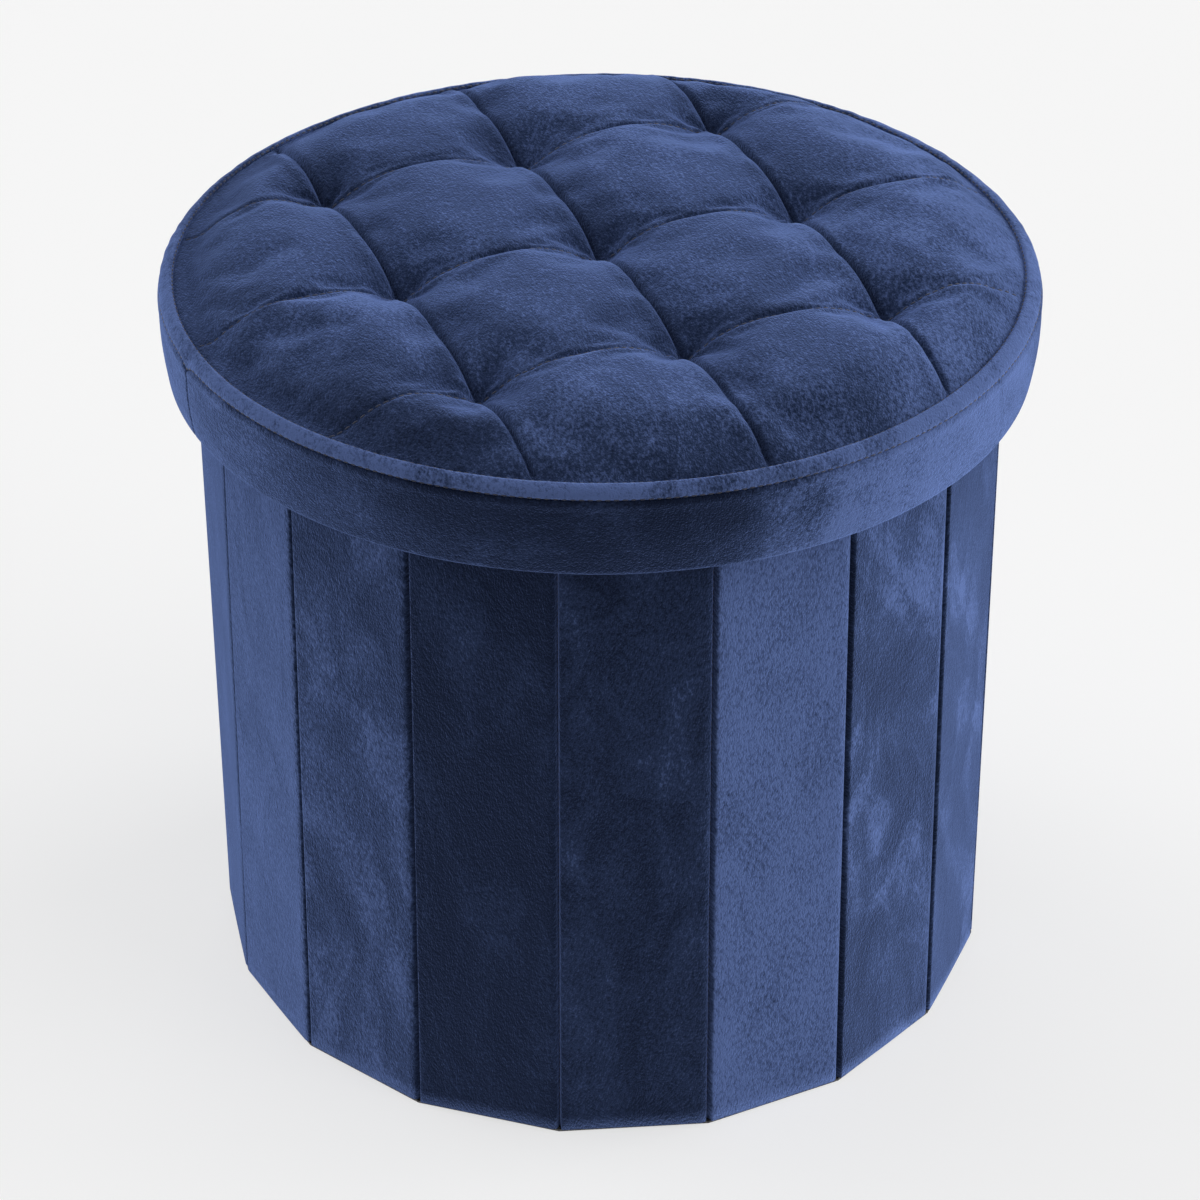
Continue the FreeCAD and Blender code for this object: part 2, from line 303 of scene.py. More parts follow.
# The velvet ripples and bows out from its leaf, and hardly in. Each strip has its own
# stretch of the pattern, a step further along the cloth.
RIPPLE = 0.35 * MM
BOW = 0.25 * MM
RIPPLE_INWARD = 0.1 * MM
CLOTH_STEP = 0.5
STRIP_COLUMNS = 44
FACE_ROWS, ROUND_ROWS, RIM_ROWS, HEM_ROWS = 44, 5, 2, 3
# How dark or light each strip is, strip 01 first, then to the right: partly how its pile lies,
# partly painted light and shade, which darken the strips facing the front and lighten others.
STRIP_NAPS_AND_SHADE = (0.22, 0.90, 0.47, 0.32, 0.38, 0.45, 0.70, 0.40,
              0.65, 0.50, 0.75, 0.45, 0.45, 0.68, 0.55, 0.02)
# How uneven the pile of each strip is, from smooth to crushed.
STRIP_CRUSH = (0.55, 0.22, 1.00, 1.00, 0.60, 0.30, 0.40, 0.50,
               0.35, 0.40, 0.30, 0.45, 0.40, 0.25, 0.55, 0.50)
# Painted shade in each seam: how much darker the pile is painted there, and how far out that fades.
SEAM_PAINTED_SHADE = 0.85
SEAM_PAINTED_SHADE_WIDTH = 1.1 * MM


def rim_path(row):
    """Distance in from the strip's face, and height, for a row counted up the strip."""
    if row <= FACE_ROWS:
        return 0.0, WALL_FOOT + (WALL_TOP - RIM_ROUND - WALL_FOOT) * row / FACE_ROWS
    row -= FACE_ROWS
    if row <= ROUND_ROWS:
        angle = math.pi / 2 * row / ROUND_ROWS
        return RIM_ROUND * (1 - math.cos(angle)), WALL_TOP - RIM_ROUND * (1 - math.sin(angle))
    row -= ROUND_ROWS
    if row <= RIM_ROWS:
        return RIM_ROUND + (RIM_DEPTH - 2 * RIM_ROUND) * row / RIM_ROWS, WALL_TOP
    row -= RIM_ROWS
    if row <= ROUND_ROWS:
        angle = math.pi / 2 * row / ROUND_ROWS
        return RIM_DEPTH - RIM_ROUND * (1 - math.sin(angle)), WALL_TOP - RIM_ROUND * (1 - math.cos(angle))
    row -= ROUND_ROWS
    return RIM_DEPTH, WALL_TOP - RIM_ROUND - (HEM_DROP - RIM_ROUND) * row / HEM_ROWS


def seam_dip(across):
    """How far the velvet falls towards the seam at either edge of a strip."""
    left = (across + HALF_SIDE) / LEFT_ROLL
    right = (HALF_SIDE - across) / RIGHT_SLOPE
    dip = 0.0
    if left < 1:
        dip = LIP_DEPTH * (1 - math.sqrt(1 - (1 - left) ** 2))
    if right < 1:
        dip = LIP_DEPTH * (1 - right) ** 1.25
    return dip + (SEAM_DEPTH - LIP_DEPTH) * math.exp(-((HALF_SIDE - abs(across)) / SLIT_WIDTH) ** 2)


def set_pile_and_shade(piece, nap_and_shade, crush):
    """Sets how a velvet piece's pile lies, with any light and shade painted into it, and how uneven it
    is, as functions of a place.
    """
    for name, amount in (("nap_and_shade", nap_and_shade), ("crush", crush)):
        layer = piece.data.attributes.new(name, "FLOAT", "POINT")
        for value, vert in zip(layer.data, piece.data.vertices):
            value.value = amount(vert.co)


def make_strip(side, material):
    """The velvet of one side, as a sheet with a ply's thickness."""
    rows = FACE_ROWS + ROUND_ROWS + RIM_ROWS + ROUND_ROWS + HEM_ROWS
    bm = bmesh.new()
    bmesh.ops.create_grid(bm, x_segments=STRIP_COLUMNS, y_segments=rows, size=1.0)
    cloth = bm.loops.layers.uv.new("cloth")
    spots = {}
    for vert in bm.verts:
        share = math.sin(vert.co.x * math.pi / 2)
        row = round((vert.co.y + 1) / 2 * rows)
        inward, height = rim_path(row)
        on_face = 1.0 if row <= FACE_ROWS else max(0.0, 1 - inward / RIM_DEPTH * 1.6)
        across = share * HALF_SIDE
        dip = seam_dip(across) * on_face
        where = Vector((across * 22, height * 7 + side * 3.1, side * 1.7))
        ripple = (noise.noise(where) * RIPPLE + BOW * (1 - share ** 2)) * min(1, (1 - abs(share)) * 12)
        depth = inward + dip - max(ripple * on_face, -RIPPLE_INWARD)
        half = HALF_SIDE - depth * math.tan(HALF_TURN)
        length = height if inward == 0 else WALL_FOOT + 2 * WALL_TOP - height
        spots[vert.index] = (across + side * CLOTH_STEP, length)
        vert.co = Vector((share * half, -(WALL_FACE - depth), height))
    for face in bm.faces:
        for loop in face.loops:
            loop[cloth].uv = spots[loop.vert.index]
    turn = Matrix.Rotation(2 * HALF_TURN * side, 3, "Z")
    bmesh.ops.rotate(bm, verts=bm.verts, cent=(0, 0, 0), matrix=turn)
    bmesh.ops.recalc_face_normals(bm, faces=bm.faces)
    outward = turn @ Vector((0, -1, 0))
    lowest = min(bm.faces, key=lambda f: f.calc_center_median().z)
    if lowest.normal.dot(outward) < 0:
        bmesh.ops.reverse_faces(bm, faces=bm.faces)
    spring(bm)
    strip = mesh_object("wall_velvet_%02d" % (side + 1), bm, material)

    # The strip's nap with its painted light and shade, darkened beside each seam by painted shade.
    def nap_and_shade(place):
        azimuth = math.atan2(place.x, -place.y)
        gap = HALF_SIDE - abs(math.tan(azimuth - 2 * HALF_TURN * side)) * WALL_FACE
        return STRIP_NAPS_AND_SHADE[side] * (1 - SEAM_PAINTED_SHADE * math.exp(-(gap / SEAM_PAINTED_SHADE_WIDTH) ** 2))

    set_pile_and_shade(strip, nap_and_shade, lambda place: STRIP_CRUSH[side])
    ply = strip.modifiers.new("ply", "SOLIDIFY")
    ply.thickness = VELVET_PLY
    ply.offset = -1
    return strip


def make_pile_group():
    """Short pile: a cloudy nap, drawn-out streaks and the fine grain of the fibres.

    Nap and Shade is a mask, 0 where the pile stands and looks dark, 1 where it lies flat and
    shines; through Level it also carries each piece's painted light and shade. Cloud Height and
    Grain Height are for bumps."""
    group, source, result = new_group(
        "velvet_pile",
        [("Vector", "Vector", None), ("Cloud Size", "Float", 30.0), ("Cloud", "Float", 0.5),
         ("Grain", "Float", 0.5), ("Level", "Float", 0.5)],
        [("Nap and Shade", "Float"), ("Cloud Height", "Float"), ("Grain Height", "Float")])
    cloud = add_node(group, "ShaderNodeTexNoise", Detail=6.0, Roughness=0.6, Distortion=0.8)
    sweep = add_node(group, "ShaderNodeMapping")
    sweep.inputs["Rotation"].default_value = (0, 0, math.radians(12))
    sweep.inputs["Scale"].default_value = (0.55, 2.6, 1.0)
    wide = add_node(group, "ShaderNodeTexNoise", Detail=3.0, Scale=11.0, Distortion=0.6)
    speck = add_node(group, "ShaderNodeTexNoise", Scale=620.0, Detail=2.0, Roughness=0.8)
    fibre = add_node(group, "ShaderNodeTexNoise", Scale=1300.0, Detail=2.0)
    for texture in (cloud, sweep, speck, fibre):
        connect(group, source, "Vector", texture, "Vector")
    connect(group, sweep, "Vector", wide, "Vector")
    connect(group, source, "Cloud Size", cloud, "Scale")
    total = socket(source, "Level", "outputs")
    shares = ((cloud, "Cloud", 2.7), (wide, "Cloud", 1.6), (speck, "Grain", 3.0))
    for texture, strength, amount in shares:
        centred = maths(group, "SUBTRACT", texture.outputs["Fac"], 0.5)
        scaled = maths(group, "MULTIPLY", centred, socket(source, strength, "outputs"))
        total = maths(group, "MULTIPLY_ADD", scaled, amount, total)
    clamp = add_node(group, "ShaderNodeClamp")
    group.links.new(total, clamp.inputs["Value"])
    group.links.new(clamp.outputs[0], socket(result, "Nap and Shade"))
    group.links.new(cloud.outputs["Fac"], socket(result, "Cloud Height"))
    grain = maths(group, "ADD", speck.outputs["Fac"], fibre.outputs["Fac"])
    group.links.new(grain, socket(result, "Grain Height"))
    return group


pile_group = make_pile_group()
# The velvet's tones from standing to flat pile; the mask between them also carries painted light and
# shade.
NAP_DARK = (0.0020, 0.0036, 0.0100)
NAP_MIDDLE = (0.0165, 0.0270, 0.0650)
NAP_LIGHT = (0.0850, 0.1280, 0.2950)
SHEEN_TINT = (0.30, 0.45, 1.0, 1)


def velvet_shader(name):
    """A velvet material with its ramp of nap and painted shade, and bumps, whose pile has no coordinates
    yet.
    """
    material, tree, shader = new_material(
        name, Roughness=0.7, Sheen_Weight=0.86, Sheen_Roughness=0.5, Sheen_Tint=SHEEN_TINT,
        Specular_IOR_Level=0.0)
    pile = add_node(tree, "ShaderNodeGroup", {"node_tree": pile_group})
    ramp = add_tones(tree, shader, pile.outputs["Nap and Shade"], NAP_DARK, NAP_LIGHT)
    ramp.new(0.5).color = (*NAP_MIDDLE, 1)
    brushed = add_node(tree, "ShaderNodeBump", Distance=1.6 * MM)
    connect(tree, pile, "Cloud Height", brushed, "Height")
    grain = add_bump(tree, shader, pile.outputs["Grain Height"], 0.55 * MM)
    connect(tree, brushed, "Normal", grain, "Normal")
    return material, tree, pile


def velvet_on(name, coordinates, out_name, cloud_size):
    """Velvet whose pile follows the piece's nap with its painted light and shade, and its crush,
    patterned on the coordinates.
    """
    material, tree, pile = velvet_shader(name)
    place = add_node(tree, *coordinates)
    slant = add_node(tree, "ShaderNodeMapping")
    slant.inputs["Rotation"].default_value = (0, 0, math.radians(35))
    slant.inputs["Scale"].default_value = (1.0, 0.5, 1.0)
    connect(tree, place, out_name, slant, "Vector")
    connect(tree, slant, "Vector", pile, "Vector")
    # The nap attribute carries painted light and shade as well as how the pile lies.
    for attribute, slot in (("nap_and_shade", "Level"), ("crush", "Cloud")):
        lies = add_node(tree, "ShaderNodeAttribute", {"attribute_name": attribute})
        tree.links.new(lies.outputs["Fac"], socket(pile, slot))
    socket(pile, "Cloud Size").default_value = cloud_size
    return material


wall_velvet = velvet_on("wall_velvet", ("ShaderNodeUVMap", {"uv_map": "cloth"}), "UV", 36.0)
for side in range(SIDES):
    strip = make_strip(side, wall_velvet)
    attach(strip, "wall")
    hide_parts("velvet_strip_%02d" % (side + 1))

# ---- Corner seams -----------------------------------------------------------------
# At each corner both strips and the lining are sewn together. The allowances stand
# inwards between two leaves, and a row of dark thread shows at the foot of the groove.
SEAM_RADIUS = (WALL_FACE - SEAM_DEPTH) / math.cos(HALF_TURN)
FIN_WIDTH = 1.6 * MM
STITCH_PITCH = 3.6 * MM
STITCH_LENGTH = 2.7 * MM
THREAD_RADIUS = 0.42 * MM


def make_thread(name, colour):
    """Twisted polyester thread, slightly glossy."""
    material, tree, shader = new_material(name, Roughness=0.5, Sheen_Weight=0.3)
    place = add_node(tree, "ShaderNodeTexCoord")
    twist = add_node(tree, "ShaderNodeTexNoise", Scale=2200.0, Detail=2.0)
    connect(tree, place, "Object", twist, "Vector")
    mask = twist.outputs["Fac"]
    add_tones(tree, shader, mask, [c * 0.5 for c in colour], [c * 1.6 for c in colour])
    add_bump(tree, shader, mask, 0.1 * MM)
    return material


def stitch_mesh():
    """One sewn stitch: a loop of thread seen as a flattened grain of rice, along Z."""
    bm = bmesh.new()
    bmesh.ops.create_uvsphere(bm, u_segments=6, v_segments=4, radius=1.0)
    size = Matrix.Diagonal((THREAD_RADIUS, THREAD_RADIUS * 0.8, STITCH_LENGTH / 2, 1))
    bmesh.ops.transform(bm, verts=bm.verts, matrix=size)
    mesh = bpy.data.meshes.new("stitch")
    bm.to_mesh(mesh)
    bm.free()
    return mesh


def sew(bm, places):
    """Adds a stitch at each place, given as (middle, direction of the seam, outward)."""
    for middle, along, outward in places:
        along = along.normalized()
        side = along.cross(outward).normalized()
        up = side.cross(along)
        one = stitch.copy()
        one.transform(Matrix.Translation(middle) @ Matrix((side, -up, along)).transposed().to_4x4())
        bm.from_mesh(one)
        bpy.data.meshes.remove(one)


stitch = stitch_mesh()
navy_thread = make_thread("navy_thread", (0.010, 0.015, 0.042))
bm = bmesh.new()
fin_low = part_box("corner_seams")[0].z
fin_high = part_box("corner_seams")[1].z
lining_radius = (-board_high.y) / math.cos(HALF_TURN)
fin_depth = SEAM_RADIUS - VELVET_PLY - lining_radius
for side in range(SIDES):
    fin = bmesh.ops.create_cube(bm, size=1.0)["verts"]
    shape = Matrix.Diagonal((FIN_WIDTH, fin_depth, fin_high - fin_low, 1))
    shift = Matrix.Translation((0, -(lining_radius + fin_depth / 2), (fin_low + fin_high) / 2))
    turn = Matrix.Rotation(2 * HALF_TURN * (side + 0.5), 4, "Z")
    bmesh.ops.transform(bm, verts=fin, matrix=turn @ shift @ shape)
for side in range(SIDES):
    outward = corner_way(side)
    count = int((WALL_TOP - WALL_FOOT - 3 * STITCH_PITCH) / STITCH_PITCH)
    sew(bm, [(outward * (SEAM_RADIUS + 0.1 * MM) + Vector((0, 0, WALL_FOOT + STITCH_PITCH * (i + 1))),
              Vector((0, 0, 1)), outward) for i in range(count)])
spring(bm)
seams = mesh_object("corner_seams_sewn", bm, navy_thread)
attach(seams, "wall")
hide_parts("corner_seams")

# ---- Base board -------------------------------------------------------------------
# A loose fibreboard floor that drops in and holds the ring open. It is covered in the
# lining cloth and has a ribbon tab to pull it out by.
finish_node("base_board", fibreboard)
finish_node("base_board_cover", lining_black)


def make_ribbon():
    """Woven ribbon: fine ribs across its length."""
    material, tree, shader = new_material("black_ribbon", Roughness=0.6, Sheen_Weight=0.2)
    place = add_node(tree, "ShaderNodeTexCoord")
    bands = {"wave_type": "BANDS", "bands_direction": "Z"}
    ribs = add_node(tree, "ShaderNodeTexWave", bands, Scale=320.0)
    connect(tree, place, "Object", ribs, "Vector")
    add_tones(tree, shader, ribs.outputs["Fac"], (0.010, 0.012, 0.020), (0.045, 0.050, 0.075))
    add_bump(tree, shader, ribs.outputs["Fac"], 0.2 * MM)
    return material


finish_node("pull_tab", make_ribbon())

# ---- Lid board, hoop and padding ---------------------------------------------------
# The lid is a round board with a bent hoop stapled round its edge. Foam wraps the hoop
# and softens the skirt. All of it is hidden once the covers are on.


def make_foam():
    """Open-cell foam, cream, with fine pores."""
    material, tree, shader = new_material("upholstery_foam", Roughness=0.95)
    place = add_node(tree, "ShaderNodeTexCoord")
    pores = add_node(tree, "ShaderNodeTexVoronoi", {"feature": "F1"}, Scale=750.0)
    connect(tree, place, "Object", pores, "Vector")
    add_tones(tree, shader, pores.outputs["Distance"], (0.52, 0.45, 0.30), (0.82, 0.76, 0.60))
    add_bump(tree, shader, pores.outputs["Distance"], 0.4 * MM)
    return material


foam_cream = make_foam()
hardboard = make_fibreboard("bent_hardboard", (0.24, 0.15, 0.09))
finish_node("lid_board", fibreboard)
finish_node("skirt_hoop", hardboard)
finish_node("lid_liner", lining_black)
finish_node("skirt_lining", lining_black)

# ---- Tuft twines, buttons and staples ----------------------------------------------
# Waxed twine pulls each tuft down through the foam and the board and is knotted under
# a plastic button. Staples hold the liner's edge.
finish_node("tuft_twines", make_thread("waxed_twine", (0.50, 0.46, 0.36)))


def make_plastic():
    """Moulded plastic with a light spark-eroded texture."""
    material, tree, shader = new_material("button_black", Roughness=0.45)
    place = add_node(tree, "ShaderNodeTexCoord")
    grain = add_node(tree, "ShaderNodeTexNoise", Scale=1400.0, Detail=2.0)
    connect(tree, place, "Object", grain, "Vector")
    add_tones(tree, shader, grain.outputs["Fac"], (0.012, 0.012, 0.012), (0.040, 0.040, 0.042))
    add_bump(tree, shader, grain.outputs["Fac"], 0.05 * MM)
    return material


def make_wire():
    """Galvanised staple wire with drawn lines."""
    material, tree, shader = new_material("staple_wire", Metallic=1.0, Roughness=0.35)
    place = add_node(tree, "ShaderNodeTexCoord")
    drawn = add_node(tree, "ShaderNodeTexNoise", Scale=1800.0, Detail=3.0)
    connect(tree, place, "Object", drawn, "Vector")
    add_tones(tree, shader, drawn.outputs["Fac"], (0.35, 0.35, 0.36), (0.72, 0.72, 0.73))
    return material


finish_node("back_buttons", make_plastic())
finish_node("liner_staples", make_wire())

# ---- Quilted top ------------------------------------------------------------------
# Four velvet panels are seamed side by side and quilted across in three rows. Nine
# blind tufts, three to a seam, pull it down into the foam. It is sewn to the border
# band, and at the left a little of it lies flat there before the puffs begin.
band_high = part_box("border_band")[1]
cover_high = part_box("top_cover")[1]
twine_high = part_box("tuft_twines")[1]
button_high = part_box("back_buttons")[1]
BORDER_TOP = band_high.z
LID_RADIUS = band_high.x
CROWN = cover_high.z - 2.0 * MM
BUTTON_RADIUS = 10 * MM
LID_TURN = math.radians(17)
TUFT_PITCH = (button_high.x - BUTTON_RADIUS) / (math.cos(LID_TURN) + math.sin(LID_TURN))
TUFT_Z = twine_high.z + 3.0 * MM
SHOULDER_WIDTH = 34 * MM
SHOULDER_SHARE = 0.85
SEAM_VALLEY = 4.4 * MM
ROW_VALLEY = 0.7 * MM
DIMPLE_REACH = 44 * MM
INNER_SEAM = 195.2 * MM
INNER_SEAM_TOP = BORDER_TOP + 3.0 * MM
FLAT_MARGIN = 2.0 * MM
FLAT_MARGIN_LEFT = 7.0 * MM
FLAT_SIDE = math.radians(-85)
LEAN = 1.0 * MM
LUMPS = 0.7 * MM
EDGE_TUCK = 0.8 * MM
CELLS_PER_PITCH = 24
BUNCHING = 0.55


def rim_radius(x, y):
    """Radius of the seam between border and quilted top, which isn't quite round."""
    azimuth = math.atan2(x, -y)
    return INNER_SEAM + 0.7 * MM * math.cos(azimuth - FLAT_SIDE) + 0.3 * MM * math.sin(5 * azimuth)


def puff_radius(x, y):
    """Radius where the puffs begin: a flat margin lies outside them at the left."""
    beside = max(0.0, math.cos(math.atan2(x, -y) - FLAT_SIDE)) ** 2
    return rim_radius(x, y) - FLAT_MARGIN - FLAT_MARGIN_LEFT * beside


def lean(y):
    """How much lower the padded top lies towards the back, where it has been sat on most."""
    return LEAN * (1 + y / LID_RADIUS)


def to_lid(u, v):
    """A place on the turned quilting grid, in the lid's own X and Y."""
    x = u * math.cos(LID_TURN) - v * math.sin(LID_TURN)
    return x, u * math.sin(LID_TURN) + v * math.cos(LID_TURN)


def to_grid(x, y):
    """A place in the lid's X and Y, on the turned quilting grid."""
    u = x * math.cos(LID_TURN) + y * math.sin(LID_TURN)
    return u, -x * math.sin(LID_TURN) + y * math.cos(LID_TURN)


def from_line(w):
    """Signed distance to the nearest seam or row, which lie a pitch apart about the middle."""
    return w - max(-1, min(1, round(w / TUFT_PITCH))) * TUFT_PITCH


def dome(radius, puffs):
    """The crowned foam: flat outside the puffs, a round shoulder, then a low crown."""
    foot = INNER_SEAM_TOP - 1.0 * MM
    edge = (puffs - radius) / SHOULDER_WIDTH
    if edge <= 0:
        return foot
    rise = CROWN - foot
    shoulder = SHOULDER_SHARE * rise * math.sin(math.pi / 2 * min(edge, 1.0))
    crown = 0.0
    if edge > 1:
        crown = (1 - SHOULDER_SHARE) * rise * (1 - (radius / (puffs - SHOULDER_WIDTH)) ** 2)
    return foot + shoulder + crown


def valley(distance, reach=TUFT_PITCH / 2):
    """1 on a sewn line, falling to 0 half a pitch away, with a crease on the line."""
    share = min(abs(distance) / reach, 1.0)
    return (1 - math.sin(share * math.pi / 2)) ** 1.35


def quilt_height(u, v):
    """Height of the quilted top before the cloth is let go."""
    radius = math.hypot(u, v)
    puffs = puff_radius(*to_lid(u, v))
    fade = min(1.0, max(0.0, (puffs - radius) / (0.8 * SHOULDER_WIDTH)))
    across, along = from_line(u), from_line(v)
    height = dome(radius, puffs)
    height -= fade * (SEAM_VALLEY * valley(across) + ROW_VALLEY * valley(along))
    away = math.hypot(across, along) / DIMPLE_REACH
    if away < 1:
        depth = dome(math.hypot(u - across, v - along), INNER_SEAM) - SEAM_VALLEY - ROW_VALLEY - TUFT_Z
        height -= depth * (1 - away) ** 2.6
    return height


def quilt_sheet():
    """Flat round sheet on the quilting grid, finer at its sewn lines, raised to shape."""
    half = math.ceil(INNER_SEAM * 1.06 / TUFT_PITCH * CELLS_PER_PITCH)
    bm = bmesh.new()
    bmesh.ops.create_grid(bm, x_segments=2 * half, y_segments=2 * half, size=half)
    for vert in bm.verts:
        for axis in (0, 1):
            turns = vert.co[axis] / CELLS_PER_PITCH
            bunch = BUNCHING if abs(turns) < 1.5 else BUNCHING * max(0.0, 1 - (abs(turns) - 1.5) / 0.4)
            vert.co[axis] = TUFT_PITCH * (turns - bunch * math.sin(2 * math.pi * turns) / (2 * math.pi))
    outside = [f for f in bm.faces
               if f.calc_center_median().length > rim_radius(*to_lid(*f.calc_center_median().xy))]
    bmesh.ops.delete(bm, geom=outside, context="FACES")
    for vert in bm.verts:
        if vert.is_boundary:
            vert.co *= rim_radius(*to_lid(*vert.co.xy)) / vert.co.length
    for vert in bm.verts:
        u, v = vert.co.xy
        x, y = to_lid(u, v)
        height = quilt_height(u, v)
        risen = min(1.0, (height - BORDER_TOP) / (12 * MM))
        height += LUMPS * noise.noise((x * 28, y * 28, 5.0)) * risen
        if vert.is_boundary:
            height -= EDGE_TUCK
        vert.co = Vector((x, y, height - lean(y)))
    return bm


lid_velvet = velvet_on("lid_velvet", ("ShaderNodeTexCoord", {}), "Object", 26.0)
quilt = mesh_object("quilted_top", quilt_sheet(), lid_velvet)


def pin_weights(piece):
    """Holds the tufts and the rim fast, the seams firmly and the quilting rows lightly."""
    pins = piece.vertex_groups.new(name="sewn")
    for vert in piece.data.vertices:
        u, v = to_grid(vert.co.x, vert.co.y)
        across, along = abs(from_line(u)), abs(from_line(v))
        weight = 0.0
        if along < 0.3 * MM:
            weight = 0.4
        if across < 0.3 * MM:
            weight = 0.8
        inside = puff_radius(vert.co.x, vert.co.y) - math.hypot(u, v)
        if math.hypot(across, along) < 3 * MM or inside < 1 * MM:
            weight = 1.0
        if weight:
            pins.add([vert.index], weight, "REPLACE")


def let_go(piece, frames, most):
    """Runs the cloth and keeps its shape, no point moving further than most."""
    pin_weights(piece)
    start = [v.co.copy() for v in piece.data.vertices]
    cloth = piece.modifiers.new("cloth", "CLOTH")
    settings = cloth.settings
    settings.quality = 6
    settings.mass = 0.3
    settings.tension_stiffness = 15
    settings.compression_stiffness = 10
    settings.shear_stiffness = 5
    settings.bending_stiffness = 0.4
    settings.shrink_min = -0.02
    settings.use_pressure = True
    settings.uniform_pressure_force = 0.35
    settings.vertex_group_mass = "sewn"
    settings.pin_stiffness = 8.0
    settings.effector_weights.gravity = 0.0
    cloth.point_cache.frame_start = 1
    cloth.point_cache.frame_end = frames
    scene = bpy.context.scene
    for number in range(1, frames + 1):
        scene.frame_set(number)
    shape = piece.evaluated_get(bpy.context.evaluated_depsgraph_get()).data
    furthest = 0.0
    for vert, rest, moved in zip(piece.data.vertices, start, shape.vertices):
        step = moved.co - rest
        furthest = max(furthest, step.length)
        if step.length > most:
            step *= most / step.length
        vert.co = rest + step
    print("cloth moved at most %.1f mm" % (furthest / MM))
    piece.modifiers.remove(cloth)
    scene.frame_set(1)


let_go(quilt, 20, 5 * MM)


def subdivide_once(piece):
    """Applies one level of subdivision and leaves no modifier behind."""
    piece.modifiers.new("finer", "SUBSURF").levels = 1
    piece.modifiers["finer"].render_levels = 1
    fine = bpy.data.meshes.new_from_object(piece.evaluated_get(bpy.context.evaluated_depsgraph_get()))
    piece.modifiers.clear()
    piece.data = fine


foam_bm = bmesh.new()
foam_bm.from_mesh(quilt.data)
subdivide_once(quilt)
SEAM_CREASE = 2.2 * MM
SEAM_CREASE_WIDTH = 1.3 * MM
SEAM_LIP = 1.0 * MM
ROW_CREASE = 0.7 * MM
ROW_CREASE_WIDTH = 1.1 * MM
TUFT_FOLD = 0.9 * MM
for vert in quilt.data.vertices:
    u, v = to_grid(vert.co.x, vert.co.y)
    radius = math.hypot(u, v)
    inside = min(1.0, max(0.0, (rim_radius(vert.co.x, vert.co.y) - radius) / (6 * MM)))
    across, along = from_line(u), from_line(v)
    pucker = 1 + 0.5 * noise.noise((u * 60, v * 160, 1.0))
    tuft = math.hypot(across, along)
    beside = inside * (1 - math.exp(-(tuft / (5 * MM)) ** 2))
    vert.co.z -= beside * SEAM_CREASE * math.exp(-(across / SEAM_CREASE_WIDTH) ** 2)
    vert.co.z += inside * SEAM_LIP * pucker * math.exp(-((across + 5 * MM) / (3.5 * MM)) ** 2)
    vert.co.z -= beside * ROW_CREASE * pucker * math.exp(-(along / ROW_CREASE_WIDTH) ** 2)
    fold = math.sin(7 * math.atan2(along, across) + 3 * (round(u / TUFT_PITCH) - round(v / TUFT_PITCH)))
    vert.co.z += TUFT_FOLD * fold * min(tuft / (6 * MM), 1.0) * math.exp(-tuft / (11 * MM))


def quilt_nap_and_shade(place):
    """The top's tone, with painted light making it lighter to the right and to the front, and painted
    shade making it dark in its sewn lines.
    """
    across = abs(from_line(to_grid(place.x, place.y)[0]))
    # Painted light towards the right and front; painted shade in the seams below.
    nap_and_shade = 0.47 + 0.18 * place.x / INNER_SEAM - 0.10 * max(0.0, place.y / INNER_SEAM)
    return nap_and_shade * (1 - 0.75 * math.exp(-(across / (1.4 * MM)) ** 2))


set_pile_and_shade(quilt, quilt_nap_and_shade, lambda place: 0.38)
quilt_ply = quilt.modifiers.new("ply", "SOLIDIFY")
quilt_ply.thickness = VELVET_PLY
quilt_ply.offset = -1
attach(quilt, "lid")
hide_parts("top_cover")

# ---- Seat foam --------------------------------------------------------------------
# Moulded foam under the velvet, glued to the lid board. The tufts and sewn lines press
# it into the same puffs.
FOAM_GAP = 3.0 * MM
FOAM_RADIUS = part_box("seat_foam")[1].x
foam_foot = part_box("seat_foam")[0].z
for vert in foam_bm.verts:
    vert.co.z = max(vert.co.z - FOAM_GAP, foam_foot + FOAM_GAP)
    radius = math.hypot(vert.co.x, vert.co.y)
    if radius > FOAM_RADIUS:
        vert.co.xy *= FOAM_RADIUS / radius
rim = [e for e in foam_bm.edges if e.is_boundary]
wall_foam = bmesh.ops.extrude_edge_only(foam_bm, edges=rim)["geom"]
for item in wall_foam:
    if isinstance(item, bmesh.types.BMVert):
        item.co.z = foam_foot
bmesh.ops.contextual_create(foam_bm, geom=[e for e in wall_foam if isinstance(e, bmesh.types.BMEdge)])
bmesh.ops.recalc_face_normals(foam_bm, faces=foam_bm.faces)
foam = mesh_object("seat_foam_pressed", foam_bm, foam_cream)
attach(foam, "lid")
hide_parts("seat_foam")

# ---- Quilting rows ----------------------------------------------------------------
# Three rows of top-stitching run across the seams, through all nine tufts.
ROW_END = 1.5 * MM
quilt_faces = [face.vertices for face in quilt.data.polygons]
quilt_tree = BVHTree.FromPolygons([v.co for v in quilt.data.vertices], quilt_faces)


def on_quilt(u, v):
    """The point and the normal of the quilted top over a place on its grid."""
    x, y = to_lid(u, v)
    spot, normal, _, _ = quilt_tree.ray_cast(Vector((x, y, 1.0)), Vector((0, 0, -1)))
    return spot, (normal if normal.z > 0 else -normal)


